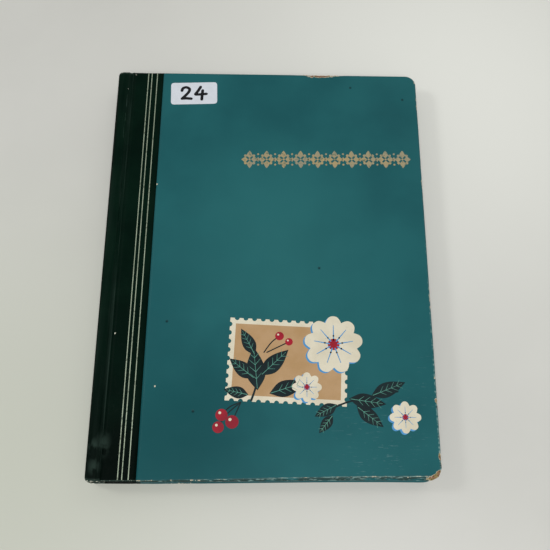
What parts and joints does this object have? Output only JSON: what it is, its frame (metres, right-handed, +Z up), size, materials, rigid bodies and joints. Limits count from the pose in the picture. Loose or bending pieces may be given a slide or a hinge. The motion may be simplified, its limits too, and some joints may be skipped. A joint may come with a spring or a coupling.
{
  "type": "stamp stock album",
  "caption": "Quarter-cloth album with hinged board covers, a hollow spine and black card leaves that carry clear strips for stamps.",
  "frame": {"origin": "middle of the underside of the closed album, which lies on its rear cover", "axes": "+Z up out of the front cover, +Y from tail to head, +X from spine to fore edge"},
  "size_m": [0.23, 0.308, 0.0201],
  "materials": {
    "board": "raw grey-brown board",
    "cover_paper": "satin laminate, worn",
    "book_cloth": "fine-grained imitation leather, satin",
    "endpaper": "matt",
    "label": "matt, soiled",
    "lining": "open weave",
    "band": "woven",
    "guard_cloth": "woven, matt",
    "card": "matt",
    "strip": "clear, glossy",
    "sheet": "translucent, smooth"
  },
  "bodies": {
    "rear_cover": {"rear_board": "board", "rear_paper": "cover_paper", "rear_cloth": "book_cloth", "rear_pastedown": "endpaper", "rear_joint_cloth": "book_cloth", "rear_hinge_paper": "endpaper"},
    "spine": {"spine_board": "board", "spine_cloth": "book_cloth", "spine_lining": "lining", "bound_edges": "guard_cloth", "headband": "band", "tailband": "band"},
    "front_cover": {"front_board": "board", "front_paper": "cover_paper", "front_cloth": "book_cloth", "front_pastedown": "endpaper", "front_joint_cloth": "book_cloth", "front_hinge_paper": "endpaper", "label": "label"},
    "leaf_1": {"leaf_1_card": "card", "leaf_1_guard": "guard_cloth", "leaf_1_strips_up": "strip", "leaf_1_strips_down": "strip", "leaf_1_sheet": "sheet"},
    "leaf_2": {"leaf_2_card": "card", "leaf_2_guard": "guard_cloth", "leaf_2_strips_up": "strip", "leaf_2_strips_down": "strip", "leaf_2_sheet": "sheet"},
    "leaf_3": {"leaf_3_card": "card", "leaf_3_guard": "guard_cloth", "leaf_3_strips_up": "strip", "leaf_3_strips_down": "strip", "leaf_3_sheet": "sheet"},
    "leaf_4": {"leaf_4_card": "card", "leaf_4_guard": "guard_cloth", "leaf_4_strips_up": "strip", "leaf_4_strips_down": "strip", "leaf_4_sheet": "sheet"},
    "leaf_5": {"leaf_5_card": "card", "leaf_5_guard": "guard_cloth", "leaf_5_strips_up": "strip", "leaf_5_strips_down": "strip", "leaf_5_sheet": "sheet"},
    "leaf_6": {"leaf_6_card": "card", "leaf_6_guard": "guard_cloth", "leaf_6_strips_up": "strip", "leaf_6_strips_down": "strip", "leaf_6_sheet": "sheet"},
    "leaf_7": {"leaf_7_card": "card", "leaf_7_guard": "guard_cloth", "leaf_7_strips_up": "strip", "leaf_7_strips_down": "strip", "leaf_7_sheet": "sheet"},
    "leaf_8": {"leaf_8_card": "card", "leaf_8_guard": "guard_cloth", "leaf_8_strips_up": "strip", "leaf_8_strips_down": "strip", "leaf_8_sheet": "sheet"}
  },
  "joints": [
    {"name": "rear_joint", "type": "hinge", "parent": "rear_cover", "child": "spine", "pos_m": [-0.1137, 0, 0.00135], "axis": [0, -1, 0], "range_deg": [0, 90], "deforming": ["rear_joint_cloth", "rear_hinge_paper"]},
    {"name": "front_joint", "type": "hinge", "parent": "spine", "child": "front_cover", "pos_m": [-0.1137, 0, 0.01865], "axis": [0, -1, 0], "range_deg": [0, 90], "deforming": ["front_joint_cloth", "front_hinge_paper"]},
    {"name": "leaf_1_joint", "type": "hinge", "parent": "spine", "child": "leaf_1", "pos_m": [-0.11, 0, 0.00414], "axis": [0, -1, 0], "range_deg": [-84, 0], "deforming": ["leaf_1_guard"]},
    {"name": "leaf_2_joint", "type": "hinge", "parent": "spine", "child": "leaf_2", "pos_m": [-0.11, 0, 0.00581], "axis": [0, -1, 0], "range_deg": [-78, 0], "deforming": ["leaf_2_guard"]},
    {"name": "leaf_3_joint", "type": "hinge", "parent": "spine", "child": "leaf_3", "pos_m": [-0.11, 0, 0.00749], "axis": [0, -1, 0], "range_deg": [-72, 0], "deforming": ["leaf_3_guard"]},
    {"name": "leaf_4_joint", "type": "hinge", "parent": "spine", "child": "leaf_4", "pos_m": [-0.11, 0, 0.00916], "axis": [0, -1, 0], "range_deg": [-66, 0], "deforming": ["leaf_4_guard"]},
    {"name": "leaf_5_joint", "type": "hinge", "parent": "spine", "child": "leaf_5", "pos_m": [-0.11, 0, 0.01084], "axis": [0, -1, 0], "range_deg": [0, 72], "deforming": ["leaf_5_guard"]},
    {"name": "leaf_6_joint", "type": "hinge", "parent": "spine", "child": "leaf_6", "pos_m": [-0.11, 0, 0.01251], "axis": [0, -1, 0], "range_deg": [0, 78], "deforming": ["leaf_6_guard"]},
    {"name": "leaf_7_joint", "type": "hinge", "parent": "spine", "child": "leaf_7", "pos_m": [-0.11, 0, 0.01419], "axis": [0, -1, 0], "range_deg": [0, 84], "deforming": ["leaf_7_guard"]},
    {"name": "leaf_8_joint", "type": "hinge", "parent": "spine", "child": "leaf_8", "pos_m": [-0.11, 0, 0.01586], "axis": [0, -1, 0], "range_deg": [0, 90], "deforming": ["leaf_8_guard"]}
  ],
  "couplings": [
    {"joint": "leaf_1_joint", "follows": "rear_joint", "ratio": -0.93333},
    {"joint": "leaf_2_joint", "follows": "rear_joint", "ratio": -0.86667},
    {"joint": "leaf_3_joint", "follows": "rear_joint", "ratio": -0.8},
    {"joint": "leaf_4_joint", "follows": "rear_joint", "ratio": -0.73333},
    {"joint": "leaf_5_joint", "follows": "front_joint", "ratio": 0.8},
    {"joint": "leaf_6_joint", "follows": "front_joint", "ratio": 0.86667},
    {"joint": "leaf_7_joint", "follows": "front_joint", "ratio": 0.93333},
    {"joint": "leaf_8_joint", "follows": "front_joint", "ratio": 1}
  ]
}
